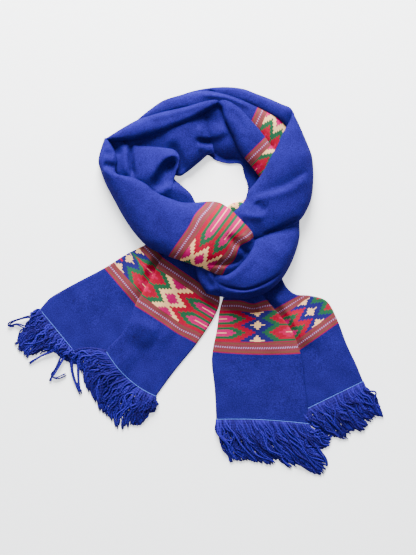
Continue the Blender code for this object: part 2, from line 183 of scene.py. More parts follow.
def creased(points, creases, full=FULL_HEIGHT):
    """The points (rows of x, y, z in millimetres) with their heights changed by the creases."""
    x, y = points[..., 0], points[..., 1]
    rise = np.zeros(x.shape)
    for row in creases:
        crease = Crease(*row)
        line = eased(crease.line, CREASE_STEPS)[0]
        runs = np.hypot(*np.diff(line, axis=0).T)
        starts = np.concatenate([[0.0], np.cumsum(runs)])
        nearest = np.full(x.shape, np.inf)
        aside, along = np.zeros(x.shape), np.zeros(x.shape)
        for start, end, run, begun in zip(line, line[1:], runs, starts):
            ux, uy = (end - start) / run
            reach = np.clip((x - start[0]) * ux + (y - start[1]) * uy, 0.0, run)
            dx, dy = x - start[0] - ux * reach, y - start[1] - uy * reach
            distance = np.hypot(dx, dy)
            closer = distance < nearest
            nearest = np.where(closer, distance, nearest)
            aside = np.where(closer, dy * ux - dx * uy, aside)
            along = np.where(closer, begun + reach, along)
        share = along / starts[-1]
        fade = smoothstep(FADE_FROM, FADE_TO, share) * smoothstep(FADE_FROM, FADE_TO, 1 - share)
        width = np.where(aside >= 0, crease.left, crease.right)
        rise += crease.rise * fade * np.exp(-((nearest / width) ** 2))
    changed = points.copy()
    lowest = np.minimum(points[..., 2], CREASE_LOW)
    changed[..., 2] = np.maximum(points[..., 2] + rise * smoothstep(0.0, full, points[..., 2]), lowest)
    return changed


RUFFLE = 0.9  # height of the slow unevenness of laid cloth
RUFFLE_LENGTH = 34.0
FINE_SHARE, FINE_TIMES = 0.4, 2.6  # height of the finer unevenness on it, and how many times finer that is
SLOW_SEED, FINE_SEED = 31.0, 57.0  # how far apart in the noise one stretch lies from the next


def ruffled(points, seed):
    """The points with the slow unevenness of laid cloth, which fades out where the cloth meets the ground."""
    changed = points.copy()
    for index in np.ndindex(points.shape[:-1]):
        x, y, z = points[index]
        wave = noise.noise(Vector((x, y, seed * SLOW_SEED + z)) / RUFFLE_LENGTH)
        wave += FINE_SHARE * noise.noise(Vector((x, y, seed * FINE_SEED - z)) * FINE_TIMES / RUFFLE_LENGTH)
        changed[index][2] = z + RUFFLE * wave * min(z / FULL_HEIGHT, 1.0)
    return changed


def edge_lengths(table, column, places):
    """How far along an edge of the table's stretch each place lies, also past its ends."""
    edge, edge_places = eased([row[column:column + 2] for row in table], CREASE_STEPS)
    run = np.concatenate([[0.0], np.cumsum(np.hypot(*np.diff(edge, axis=0).T))])
    past = np.clip(places - edge_places[-1], 0.0, None) * (run[-1] - run[-2]) * CREASE_STEPS
    short = np.clip(places, None, 0.0) * run[1] * CREASE_STEPS
    return np.interp(places, edge_places, run) + past + short


def cloth_places(points, places, table, band):
    """Each point's place in the woven cloth: along the warp from the band's middle, and along the weft."""
    edges = []
    for column, start, end in ((0, band.a_from, band.a_to), (2, band.b_from, band.b_to)):
        run, first, last = (edge_lengths(table, column, np.asarray(at, float)) for at in (places, start, end))
        edges.append(((run - first) / (last - first) - 0.5) * 2 * BAND_HALF)
    steps = np.linalg.norm(np.diff(points, axis=1), axis=2)
    across = np.concatenate([np.zeros((len(points), 1)), np.cumsum(steps, axis=1)], axis=1)
    share = across / across[:, -1:]
    along = edges[0][:, None] * (1 - share) + edges[1][:, None] * share
    for (x, y), reach, shift in band.drifts:
        along = along + shift * np.exp(-(np.hypot(points[..., 0] - x, points[..., 1] - y) / reach) ** 2)
    (x0, y0), (x1, y1) = band.line
    past_line = (points[..., 0] - x0) * (y1 - y0) - (points[..., 1] - y0) * (x1 - x0)
    crossing = np.argmin(np.abs(past_line), axis=1)
    held = across[np.arange(len(points)), crossing]
    return along, band.weft + band.turn * (across - held[:, None])


def sheet_mesh(name, points, cloth):
    """A sheet through rows of points, with its cloth places, in metres, as its UV map."""
    count = points.shape[1]
    faces = []
    for i in range(len(points) - 1):
        for j in range(count - 1):
            k = i * count + j
            faces.append((k, k + 1, k + count + 1, k + count))
    mesh = bpy.data.meshes.new(name)
    mesh.from_pydata((points.reshape(-1, 3) * MM).tolist(), [], faces)
    layer = mesh.uv_layers.new(name="cloth")
    along, across = (values.reshape(-1) * MM for values in cloth)
    corners = np.array(faces).reshape(-1)
    layer.data.foreach_set("uv", np.column_stack([along[corners], across[corners]]).reshape(-1))
    piece = bpy.data.objects.new(name, mesh)
    bpy.context.scene.collection.objects.link(piece)
    return piece


def facing_up(piece):
    """Turns the sheet's faces so that most of them face upwards, and shades it smooth."""
    shape = bmesh.new()
    shape.from_mesh(piece.data)
    if sum(face.normal.z * face.calc_area() for face in shape.faces) < 0:
        bmesh.ops.reverse_faces(shape, faces=shape.faces)
    shape.to_mesh(piece.data)
    shape.free()
    piece.data.shade_smooth()


def walled(piece, thickness):
    """Gives the sheet its wall, which grows inwards, and applies it."""
    wall = piece.modifiers.new("wall", "SOLIDIFY")
    wall.thickness = thickness * MM
    wall.offset = -1.0
    bpy.context.view_layer.objects.active = piece
    bpy.ops.object.modifier_apply(modifier=wall.name)


# Where the band lies on a stretch: the table rows at which its two outer lines meet edge A and edge B, a line
# in plan that runs along one warp thread, that thread's place along the weft, and which way the weft counts.
# Where the cloth buckles its band drifts: round a point in plan, within a reach, by so far along the warp
Band = namedtuple("Band", "a_from a_to b_from b_to line weft turn drifts", defaults=((),))
BAND_HALF = 42.9
# On a stretch that shows no band, it lies far before the first row
NO_BAND = Band(-40, -34, -40, -34, ((0, -400), (0, 400)), 0, 1)


# The chart of the band, in millimetres. Its rows of ovals and diamonds lie a period apart, and the rows of
# crosses halfway between them; it repeats along the weft, and turns back at the middle of each motif.
PERIOD = 23.0
HALF_CELLS = 4.0  # in half a period
CELL = PERIOD / 2 / HALF_CELLS
REPEAT = 296.0
PATTERN_HALF = 24.6
CROSS_AT = 51.5
# Each edge of a motif: how far it is from the diamond's middle on the diamonds' own row, and how much further
# with each cell away from that row
ROSE = (32.0, -5.0)
ROSE_HEART = (17.0, -6.0)
GREEN_STEPS = (44.0, -4.5)
GROUND_STEPS = (55.0, 5.75)
OVAL = (71.0, 6.0)
OVAL_HEART = (86.0, 5.5)
OVAL_LINE = 101.0
OVAL_ROWS = 3.2  # half the width of an oval's bar, in cells, and of its heart
HEART_ROWS = 1.9
ROSE_LINE = 6.0
CROSS_BODY = (-4.4, 3.2)
CROSS_BODY_HALF = 5.6
CROSS_ARM = 12.0
LOZENGE_ARM = (-4.5, 4.5)
THIN = 0.28  # half the width of a one-thread line, in cells
LADDER_PITCH = 3.7  # of the rungs in the ladder line
RUNG_SHARE = 0.5
THREAD = 1.05  # pitch of the threads that show as dots in the band's mixed colours
DOT_SHARE = 0.6  # how strongly they show
RED = (0.250, 0.003, 0.020, 1.0)
CRIMSON = (0.330, 0.004, 0.048, 1.0)
MAGENTA = (0.325, 0.002, 0.082, 1.0)
GREEN = (0.013, 0.070, 0.032, 1.0)
CREAM = (0.640, 0.375, 0.165, 1.0)
PALE = (0.640, 0.240, 0.170, 1.0)
BAND_BLUE = (0.013, 0.010, 0.095, 1.0)
MAROON = (0.135, 0.024, 0.034, 1.0)
OLIVE = (0.100, 0.042, 0.026, 1.0)
LILAC = (0.230, 0.150, 0.290, 1.0)
SELVEDGE = (0.185, 0.006, 0.036, 1.0)
# The striped border from the pattern outwards: how far each stripe reaches, and its colour
BORDER = (
    (1.3, SELVEDGE), (3.9, OLIVE), (7.5, MAROON), (10.1, LILAC),
    (13.4, MAROON), (16.4, OLIVE), (18.3, SELVEDGE),
)
LADDER = (7.5, 10.1)


def maths(tree, kind, *values):
    """A Math node with these values, each a number or another node's socket."""
    node = tree.nodes.new("ShaderNodeMath")
    node.operation = kind
    for socket, value in zip(node.inputs, values):
        if isinstance(value, (int, float)):
            socket.default_value = value
        else:
            tree.links.new(value, socket)
    return node.outputs[0]


def layered(tree, under, over, mask):
    """The colour `over` laid on `under` where the mask is 1."""
    node = tree.nodes.new("ShaderNodeMix")
    node.data_type = "RGBA"
    for name, value in (("Factor_Float", mask), ("A_Color", under), ("B_Color", over)):
        socket = next(s for s in node.inputs if s.identifier == name)
        if isinstance(value, (int, float, tuple)):
            socket.default_value = value
        else:
            tree.links.new(value, socket)
    return next(s for s in node.outputs if s.identifier == "Result_Color")


def both(tree, *masks):
    """1 where all the masks are 1."""
    total = masks[0]
    for mask in masks[1:]:
        total = maths(tree, "MULTIPLY", total, mask)
    return total


def new_group(name, inputs, outputs):
    """A node group, its input node and its output node. Sockets are given as (name, kind)."""
    group = bpy.data.node_groups.new(name, "ShaderNodeTree")
    for label, kind in inputs:
        group.interface.new_socket(label, in_out="INPUT", socket_type="NodeSocket" + kind)
    for label, kind in outputs:
        group.interface.new_socket(label, in_out="OUTPUT", socket_type="NodeSocket" + kind)
    return group, group.nodes.new("NodeGroupInput"), group.nodes.new("NodeGroupOutput")


def build_band_group():
    """The woven band: its colour at a place in the cloth, and 1 where the cloth is band."""
    group, entry, leave = new_group(
        "woven_band", [("Cloth", "Vector")], [("Color", "Color"), ("Band", "Float")])
    split = group.nodes.new("ShaderNodeSeparateXYZ")
    group.links.new(entry.outputs["Cloth"], split.inputs[0])
    along = maths(group, "DIVIDE", split.outputs["X"], MM)
    across = maths(group, "DIVIDE", split.outputs["Y"], MM)
    place = maths(group, "DIVIDE", along, CELL)
    row = maths(group, "ROUND", place)
    step = maths(group, "SUBTRACT", HALF_CELLS, maths(group, "PINGPONG", row, HALF_CELLS))
    on_line = maths(group, "LESS_THAN", maths(group, "ABSOLUTE", maths(group, "SUBTRACT", place, row)), THIN)
    far = maths(group, "PINGPONG", across, REPEAT / 2)
    blue_side = maths(group, "LESS_THAN", maths(group, "FLOORED_MODULO", across, REPEAT), REPEAT / 2)
    cream_side = maths(group, "SUBTRACT", 1.0, blue_side)
    on_axis = maths(group, "LESS_THAN", step, 0.5)
    between = maths(group, "GREATER_THAN", step, HALF_CELLS - 0.5)

    def inside(value, edge):
        return maths(group, "LESS_THAN", value, maths(group, "MULTIPLY_ADD", step, edge[1], edge[0]))

    def outside(value, edge):
        return maths(group, "SUBTRACT", 1.0, inside(value, edge))

    def nearer(value, limit):
        return maths(group, "LESS_THAN", value, limit)

    off_line = maths(group, "SUBTRACT", 1.0, between)
    from_cross = maths(group, "ABSOLUTE", maths(group, "SUBTRACT", far, CROSS_AT))
    ground = layered(group, CREAM, BAND_BLUE, blue_side)
    colour = layered(group, RED, ground, inside(far, GROUND_STEPS))
    body = both(group, inside(from_cross, CROSS_BODY), nearer(from_cross, CROSS_BODY_HALF), blue_side)
    arms = both(group, nearer(from_cross, CROSS_ARM), between, on_line, blue_side)
    colour = layered(group, colour, CREAM, maths(group, "MAXIMUM", body, arms))
    colour = layered(group, colour, MAGENTA, both(group, inside(from_cross, LOZENGE_ARM), cream_side))
    colour = layered(group, colour, GREEN, inside(far, GREEN_STEPS))
    colour = layered(group, colour, RED, both(group, inside(far, ROSE), off_line))
    colour = layered(group, colour, CRIMSON, both(group, inside(far, ROSE_HEART), off_line))
    colour = layered(group, colour, PALE, both(group, nearer(far, ROSE_LINE), on_axis, on_line))
    off_axis = maths(group, "SUBTRACT", HALF_CELLS, maths(group, "PINGPONG", place, HALF_CELLS))
    oval = both(group, outside(far, OVAL), nearer(off_axis, OVAL_ROWS))
    colour = layered(group, colour, GREEN, oval)
    oval_heart = both(group, outside(far, OVAL_HEART), nearer(off_axis, HEART_ROWS))
    colour = layered(group, colour, MAGENTA, oval_heart)
    past_line = maths(group, "GREATER_THAN", far, OVAL_LINE)
    colour = layered(group, colour, PALE, both(group, past_line, on_axis, on_line))

    off_middle = maths(group, "ABSOLUTE", along)
    stripe = maths(group, "SUBTRACT", off_middle, PATTERN_HALF)
    threads = [maths(group, "FLOOR", maths(group, "DIVIDE", value, THREAD)) for value in (across, along)]
    dots = maths(group, "PINGPONG", maths(group, "ADD", *threads), 1.0)
    border = SELVEDGE
    for limit, shade in reversed(BORDER):
        if shade is OLIVE:
            shade = layered(group, OLIVE, MAROON, maths(group, "MULTIPLY", dots, DOT_SHARE))
        border = layered(group, border, shade, nearer(stripe, limit))
    past_rung = maths(group, "FRACT", maths(group, "DIVIDE", across, LADDER_PITCH))
    rung = maths(group, "LESS_THAN", past_rung, RUNG_SHARE)
    on_ladder = both(group, maths(group, "GREATER_THAN", stripe, LADDER[0]), nearer(stripe, LADDER[1]))
    border = layered(group, border, MAROON, both(group, on_ladder, rung))
    colour = layered(group, colour, border, maths(group, "GREATER_THAN", stripe, 0.0))
    group.links.new(colour, leave.inputs["Color"])
    group.links.new(nearer(off_middle, BAND_HALF), leave.inputs["Band"])
    return group


WEAVE_PITCH = 0.00075  # metres between threads
TWILL_RUN = 4.0  # threads in one step of the twill
TWIST_SHARE = 0.5  # height of the threads beside that of the nap
NAP_SHARE = 0.75  # of the shade, the rest being its patches
NOISES = ((680.0, 2.0), (38.0, 3.0))  # scale and detail of the nap and of its patches


def build_weave_group():
    """The wool's weave and nap at a place in the cloth: the threads' height, and a slight change of shade."""
    group, entry, leave = new_group("wool_weave", [("Cloth", "Vector"), ("Object", "Vector")],
                                    [("Height", "Float"), ("Shade", "Float")])
    split = group.nodes.new("ShaderNodeSeparateXYZ")
    group.links.new(entry.outputs["Cloth"], split.inputs[0])
    warp = maths(group, "DIVIDE", split.outputs["X"], WEAVE_PITCH)
    weft = maths(group, "DIVIDE", split.outputs["Y"], WEAVE_PITCH)
    diagonal = maths(group, "ADD", maths(group, "FLOOR", warp), maths(group, "FLOOR", weft))
    over = maths(group, "LESS_THAN", maths(group, "FLOORED_MODULO", diagonal, TWILL_RUN), TWILL_RUN / 2)
    across_warp = maths(group, "ABSOLUTE", maths(group, "SINE", maths(group, "MULTIPLY", weft, math.pi)))
    across_weft = maths(group, "ABSOLUTE", maths(group, "SINE", maths(group, "MULTIPLY", warp, math.pi)))
    threads = maths(group, "ADD", maths(group, "MULTIPLY", across_warp, over),
                    maths(group, "MULTIPLY", across_weft, maths(group, "SUBTRACT", 1.0, over)))
    clouds = []
    for scale, detail in NOISES:
        cloud = group.nodes.new("ShaderNodeTexNoise")
        cloud.inputs["Scale"].default_value = scale
        cloud.inputs["Detail"].default_value = detail
        group.links.new(entry.outputs["Object"], cloud.inputs["Vector"])
        clouds.append(cloud.outputs["Fac"])
    nap, patch = clouds
    height = maths(group, "ADD", maths(group, "MULTIPLY", threads, TWIST_SHARE), nap)
    patches = maths(group, "MULTIPLY", patch, 1 - NAP_SHARE)
    shade = maths(group, "ADD", maths(group, "MULTIPLY", nap, NAP_SHARE), patches)
    group.links.new(height, leave.inputs["Height"])
    group.links.new(shade, leave.inputs["Shade"])
    return group


BLUE_DEEP = (0.0057, 0.0036, 0.051, 1.0)
BLUE_BRIGHT = (0.0141, 0.0101, 0.150, 1.0)
SHADE_FROM, SHADE_TO = 0.3, 0.7
WORN_LEAST, WORN_MORE = 0.85, 0.3  # brightness of the deepest shade, and how much the brightest adds
THREAD_HEIGHT = 0.0004
THREAD_STRENGTH = 0.6
WOOL_ROUGHNESS = 0.88
WOOL_SPECULAR = 0.02


def placed_group(tree, group, vectors):
    """The group as a node of this material, fed with these vectors."""
    node = tree.nodes.new("ShaderNodeGroup")
    node.node_tree = group
    for label, socket in vectors.items():
        tree.links.new(socket, node.inputs[label])
    return node


def build_wool():
    """Royal-blue wool with a soft nap, crossed by its band wherever the cloth's place says so."""
    material = bpy.data.materials.new("blue_wool")
    material.use_nodes = True
    tree = material.node_tree
    shader = tree.nodes["Principled BSDF"]
    uv = tree.nodes.new("ShaderNodeUVMap")
    uv.uv_map = "cloth"
    place = tree.nodes.new("ShaderNodeTexCoord")
    places = {"Cloth": uv.outputs[0], "Object": place.outputs["Object"]}
    weave = placed_group(tree, build_weave_group(), places)
    band = placed_group(tree, build_band_group(), {"Cloth": uv.outputs[0]})
    spread = tree.nodes.new("ShaderNodeMapRange")
    spread.inputs["From Min"].default_value = SHADE_FROM
    spread.inputs["From Max"].default_value = SHADE_TO
    tree.links.new(weave.outputs["Shade"], spread.inputs["Value"])
    blue = layered(tree, BLUE_DEEP, BLUE_BRIGHT, spread.outputs[0])
    colour = layered(tree, blue, band.outputs["Color"], band.outputs["Band"])
    worn = tree.nodes.new("ShaderNodeHueSaturation")
    worn_by = maths(tree, "MULTIPLY_ADD", spread.outputs[0], WORN_MORE, WORN_LEAST)
    tree.links.new(worn_by, worn.inputs["Value"])
    tree.links.new(colour, worn.inputs["Color"])
    tree.links.new(worn.outputs[0], shader.inputs["Base Color"])
    bump = tree.nodes.new("ShaderNodeBump")
    bump.inputs["Strength"].default_value = THREAD_STRENGTH
    bump.inputs["Distance"].default_value = THREAD_HEIGHT
    tree.links.new(weave.outputs["Height"], bump.inputs["Height"])
    tree.links.new(bump.outputs[0], shader.inputs["Normal"])
    shader.inputs["Roughness"].default_value = WOOL_ROUGHNESS
    shader.inputs["Specular IOR Level"].default_value = WOOL_SPECULAR
    return material


wool = build_wool()


def dressed(name, points, cloth):
    """Doubled cloth through rows of points, walled, finished and attached to the root body, in the place of
    its solid.
    """
    piece = sheet_mesh(name, points, cloth)
    facing_up(piece)
    walled(piece, CLOTH)
    piece.data.materials.append(wool)
    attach(piece, "root")
    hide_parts(name.removesuffix("_cloth"))


def laid_stretch(name, table, creases, band, seed):
    """A gathered stretch, creased, as a shell over its solid."""
    cuts, places = eased(table, ROW_STEPS)
    points = []
    for values in cuts:
        cut = Cut(*values)
        section, width = gathered_section(cut)
        ux, uy = (cut.bx - cut.ax) / width, (cut.by - cut.ay) / width
        points.append([(cut.ax + ux * d, cut.ay + uy * d, z) for d, z in section])
    points = creased(ruffled(np.array(points), seed), creases)
    dressed(name, points, cloth_places(points, places, table, band))


laid_stretch(
    "left_sweep_cloth", LEFT_SWEEP,
    [
        ([(-151, 179), (-137, 176), (-119, 172), (-100, 166), (-86, 160)], 3, 11, 3.0),
        ([(-148, 186), (-138, 184), (-126, 182)], 6, 4, -4.5),
        ([(-148, 206), (-138, 204), (-129, 201)], 6, 6, -3),
        ([(-146, 176), (-97, 156), (-63, 136), (-28, 120), (1, 116)], 7, 22, 4.5),
        ([(-143, 153), (-118, 118), (-86, 86), (-57, 64)], 16, 18, -2.5),
        ([(15, 28), (34, 31), (46, 30), (57, 32), (79, 40)], 3.5, 5, -9),
        ([(70, 59), (78, 51), (84, 40)], 5, 5, -6),
        ([(49, 75), (60, 64), (71, 54)], 7, 6, -5),
        ([(74, 78), (81, 68), (87, 59)], 6, 6, 2.5),
    ],
    Band(9.0, 13.0, 8.67, 12.5, ((-3, 69), (42, 42)), -78.0, -1,
         (((71, 56), 14, 8.0), ((47, 25), 9, 3.0), ((1, 107), 16, 3.5))), 1,
)


# The smooth stretch down the right side: the same wool cloth, doubled and gathered, with one long soft
# hollow where it turns towards the knot. It dives under the knot, which holds it down.
RIGHT_SWEEP = [
    (153, 276, 153, 263, 10, 14, 20),
    (164, 254, 146, 249, 9, 20, 28),
    (172, 236, 137, 232, 8, 22, 33),
    (180, 217, 130, 216, 8, 22, 36),
    (186, 200, 121, 200, 8, 22, 38),
    (188, 179, 110, 179, 8, 20, 38),
    (188, 160, 98, 161, 8, 18, 38),
    (186, 139, 84, 144, 9, 15, 38),
    (180, 120, 78, 129, 12, 16, 38),
    (167, 99, 65, 115, 18, 20, 37),
    (143, 84, 52, 102, 22, 20, 34),
    (116, 72, 36, 86, 22, 18, 30),
    (90, 67, 26, 70, 18, 14, 26),
]
laid_stretch(
    "right_sweep_cloth", RIGHT_SWEEP,
    [
        ([(180, 180), (153, 156), (127, 147), (84, 136)], 6, 14, -4.8),
        ([(185, 176), (145, 148), (106, 136), (82, 129)], 11, 4, 3.5),
        ([(95, 128), (103, 118), (113, 110)], 7, 6, -3.5),
        ([(66, 108), (87, 105), (111, 100)], 6, 8, 4),
        ([(106, 73), (135, 86), (166, 102)], 3, 4, -7),
    ],
    NO_BAND, 2,
)


# The stretch that turns round below the knot: a tight round bend of the same wool cloth, gathered and held
# by the knot, with a long crease near its outer edge.
LOWER_LOOP = [
    (167, 110, 119, 96, 6, 10, 16),
    (166, 91, 106, 80, 7, 14, 22),
    (166, 72, 94, 67, 8, 20, 31),
    (161, 51, 90, 54, 8, 24, 36),
    (152, 28, 82, 40, 8, 26, 39),
    (139, 6, 71, 27, 9, 26, 40),
    (121, -12, 60, 17, 12, 25, 39),
    (98, -23, 47, 11, 14, 22, 36),
    (71, -28, 37, 14, 14, 18, 32),
    (42, -24, 24, 20, 12, 14, 26),
]
laid_stretch(
    "lower_loop_cloth", LOWER_LOOP,
    [
        ([(31, 1), (47, -7), (70, -12), (87, -11), (114, 0), (145, 20)], 1.8, 1.8, -4.5),
        ([(38, -8), (58, -16), (87, -16), (116, -7), (146, 12)], 3, 5, 2.0),
        ([(30, 12), (47, 6), (71, 20), (86, 38), (97, 60)], 6, 9, 3),
        ([(100, 16), (122, 38), (137, 64)], 16, 16, 1.5),
    ],
    NO_BAND, 3,
)


# The roll along the top of the ring's inner side: the wool cloth's folded edge, turned under itself and held
# by its own weight, with its ridge to the light.
TOP_ROLL = [
    (42, 294, 38, 283, 20, 16, 24),
    (15, 288, 20, 272, 18, 14, 30),
    (-9, 281, 1, 260, 16, 14, 32),
    (-33, 275, -25, 249, 15, 14, 32),
    (-57, 270, -50, 239, 13, 14, 31),
    (-76, 264, -73, 232, 11, 14, 30),
    (-94, 258, -92, 227, 8, 13, 28),
    (-114, 247, -111, 225, 8, 13, 27),
    (-132, 236, -127, 224, 8, 12, 24),
    (-145, 228, -137, 225, 7, 10, 15),
]
laid_stretch(
    "top_roll_cloth", TOP_ROLL,
    [([(-92, 248), (-57, 256), (-17, 265), (14, 278)], 6, 10, -2)],
    NO_BAND, 4,
)


# The strand beside it, down the ring's right inner side: gathered wool cloth with a woven band across it,
# laid over the inner wall and tucked under the right side.
INNER_STRAND = [
    (35, 294, 33, 285, 20, 16, 23),
    (50, 291, 41, 277, 19, 18, 29),
    (65, 283, 46, 260, 18, 20, 32),
    (79, 271, 54, 243, 18, 20, 33),
    (92, 256, 61, 227, 17, 19, 32),
    (105, 240, 70, 209, 16, 17, 31),
    (118, 222, 82, 193, 14, 14, 28),
    (130, 206, 94, 179, 11, 10, 24),
    (145, 190, 105, 163, 8, 8, 18),
]
laid_stretch(
    "inner_strand_cloth", INNER_STRAND,
    [([(52, 278), (68, 259), (81, 236)], 6, 8, -2)],
    Band(5.4, 9.47, 5.8, 10.25, ((106, 211), (126, 188)), -32.0, 1), 5,
)


# The middle strand of the ring's top: a flatter fold of the wool cloth, laid between its neighbours. Its
# woven band lies where it goes in under the right side.
TOP_MIDDLE = [
    (-92, 260, -84, 257, 6, 5, 9),
    (-73, 275, -66, 260, 7, 7, 18),
    (-52, 289, -44, 266, 8, 8, 22),
    (-28, 297, -19, 272, 9, 10, 24),
    (-2, 303, 4, 275, 12, 14, 25),
    (22, 304, 24, 281, 14, 15, 25),
    (44, 300, 39, 279, 14, 16, 25),
    (68, 293, 58, 268, 14, 16, 26),
    (89, 285, 74, 254, 14, 15, 26),
    (110, 276, 93, 241, 14, 12, 25),
    (130, 267, 111, 222, 12, 11, 22),
    (146, 251, 127, 203, 8, 8, 16),
    (156, 232, 142, 187, 6, 6, 12),
]
laid_stretch(
    "top_middle_cloth", TOP_MIDDLE, [([(1, 297), (30, 296), (58, 291), (94, 273)], 5, 5, 3.5)],
    Band(8.5, 12.35, 8.6, 12.1, ((106, 262), (142, 227)), -33.0, 1), 6,
)


# The outermost strand of the ring's top: one narrow rounded fold of the wool cloth, with the ring's outer
# edge rolled under it. It leans against the middle strand.
TOP_OUTER = [
    (-20, 300, -14, 298, 6, 8, 10),
    (1, 306, 6, 299, 7, 12, 16),
    (26, 310, 28, 298, 8, 15, 19),
    (52, 311, 47, 296, 8, 18, 22),
    (76, 308, 66, 290, 8, 20, 24),
    (98, 300, 86, 283, 8, 20, 25),
    (119, 292, 105, 275, 8, 20, 25),
    (137, 284, 122, 266, 8, 19, 25),
    (151, 278, 136, 257, 8, 16, 23),
    (158, 268, 147, 245, 7, 12, 16),
]
laid_stretch("top_outer_cloth", TOP_OUTER, [([(15, 308), (23, 304), (31, 299)], 3, 4, -5)], NO_BAND, 7)


# The ring's inner wall round the hole: the far side of the stretches above, of the same wool cloth, gathered
# in loose folds. The roll and the strand beside it lie over it and keep it in their shade.
INNER_BACK = [
    (8, 278, 7, 211, 8, 6, 16),
    (24, 286, 22, 202, 8, 7, 19),
    (42, 284, 34, 194, 8, 7, 20),
    (52, 252, 52, 189, 8, 7, 20),
    (65, 227, 72, 188, 8, 7, 19),
    (81, 201, 78, 171, 8, 6, 17),
    (97, 182, 84, 152, 8, 5, 14),
    (113, 163, 82, 136, 6, 5, 12),
]
INNER_FOLD = [
    (-136, 232, -126, 204, 5, 5, 8),
    (-106, 236, -96, 200, 6, 5, 10),
    (-66, 246, -52, 180, 7, 6, 13),
    (-41, 254, -28, 169, 8, 7, 19),
    (-22, 260, -14, 175, 8, 7, 21),
    (-4, 268, 6, 191, 8, 7, 20),
    (9, 272, 22, 204, 7, 6, 19),
    (18, 273, 31, 201, 6, 5, 14),
]
INNER_LEFT = [
    (-138, 195, -137, 233, 6, 8, 11),
    (-124, 166, -100, 218, 8, 12, 20),
    (-102, 156, -73, 216, 10, 14, 26),
    (-82, 147, -47, 213, 10, 15, 29),
    (-70, 137, -31, 208, 10, 16, 30),
    (-57, 129, -24, 193, 10, 17, 29),
    (-46, 124, -30, 176, 10, 13, 25),
    (-38, 121, -34, 165, 10, 11, 23),
    (-25, 118, -21, 153, 10, 10, 21),
    (-12, 116, -8, 141, 9, 9, 18),
    (-1, 116, 0, 127, 7, 7, 12),
]
laid_stretch(
    "inner_back_cloth", INNER_BACK,
    [
        ([(-73, 188), (-9, 198), (18, 190), (42, 180), (71, 176), (82, 147), (94, 107)], 31, 20, -20),
        ([(-25, 224), (17, 224), (39, 227), (62, 240)], 4, 14, -4),
        ([(1, 278), (17, 262), (33, 256), (55, 262)], 12, 12, -4),
    ],
    NO_BAND, 8,
)
laid_stretch(
    "inner_fold_cloth", INNER_FOLD,
    [
        ([(-44, 224), (-31, 204), (-22, 182), (-18, 166)], 9, 9, -7),
        ([(7, 252), (7, 230), (10, 204)], 4, 5, 4),
        ([(-1, 226), (14, 225), (25, 225), (42, 230)], 3, 7, -10),
        ([(-97, 233), (-57, 248), (-22, 264), (15, 278)], 8, 38, 6),
    ],
    NO_BAND, 9,
)
laid_stretch(
    "inner_left_cloth", INNER_LEFT,
    [
        ([(-102, 227), (-102, 198), (-98, 163)], 2.5, 4, -12),
        ([(-111, 222), (-112, 195), (-110, 166)], 5, 5, 4),
        ([(-137, 225), (-129, 212), (-124, 198)], 9, 7, -6),
        ([(-18, 200), (-36, 201), (-52, 193), (-63, 179), (-71, 155)], 6, 10, 6),
        ([(-23, 182), (-38, 184), (-49, 177), (-57, 163), (-62, 140)], 10, 8, -10),
        ([(-36, 201), (-37, 176), (-41, 147)], 4, 12, -7),
        ([(-28, 206), (-26, 192), (-30, 172)], 3, 3, 4),
        ([(-73, 132), (-47, 147), (-25, 147), (1, 132)], 10, 10, 3),
    ],
    NO_BAND, 10,
)


# Inside the knot: a corner of the woven band that shows behind the hole, and the rolled tuck of wool cloth
# below the knot, which pulls both of them tight.
KNOT_INNER_BAND = [
    (47, 116, 58, 100, 5, 5, 9),
    (58, 125, 71, 110, 6, 6, 12),
    (76, 130, 86, 118, 6, 6, 12),
    (87, 139, 98, 128, 5, 5, 9),
]
KNOT_TUCK = [
    (-6, 38, 28, 24, 14, 14, 27),
    (-1, 22, 32, 9, 16, 16, 32),
    (4, 4, 39, -5, 16, 15, 31),
    (11, -8, 43, -15, 14, 14, 27),
    (18, -19, 42, -24, 11, 11, 18),
]
laid_stretch(
    "knot_inner_band_cloth", KNOT_INNER_BAND, [],
    Band(3.2, -1.5, 3.2, -1.5, ((54, 126), (58, 110)), -44.0, 1), 11,
)
laid_stretch(
    "knot_tuck_cloth", KNOT_TUCK,
    [
        ([(2, 25), (4, 4), (14, -10), (30, -21)], 4, 3, 3),
        ([(14, 22), (20, 3), (31, -13)], 6, 5, -5),
    ],
    NO_BAND, 12,
)


# The tails: the shawl's two ends, each spread out flat in two panels that lie on each other. The wool cloth
# is doubled along a soft fold, thick and gathered where the knot holds it and flat at the fringe.
Panel = namedtuple("Panel", "ax ay bx by bow lift_a lift_b thick")
TAIL_LEFT_UNDER = [
    (-60, 73, -28, 41, 0, 0, 0, 6),
    (-79, 60, -38, 19, 0, 0, 0, 5),
    (-111, 44, -60, -10, 0, 0, 0, 3.6),
    (-146, 22, -86, -48, 0, 0, 0, 3),
    (-186, 1, -105, -90, 0, 0, 0, 3),
    (-217, -16, -134, -113, 0, 0, 0, 3),
    (-234, -27, -162, -114, 0, 0, 0, 3),
    (-249, -44, -193, -112, 0, 0, 0, 3),
]
TAIL_LEFT_OVER = [
    (-41, 59, 22, 12, 0, 7, 0, 9),
    (-54, 40, 39, -24, 0, 6.2, 0, 8),
    (-74, 1, 30, -56, 0, 4.8, 0, 5),
    (-97, -38, 2, -99, 0, 3.8, 0, 3.2),
    (-105, -61, -15, -120, 0, 3.6, 0, 3),
    (-119, -84, -33, -142, 2, 3.6, 0, 3),
    (-138, -104, -48, -162, 6, 3.6, 0, 3),
    (-142, -112, -63, -183, 9, 3.6, 0, 3),
]
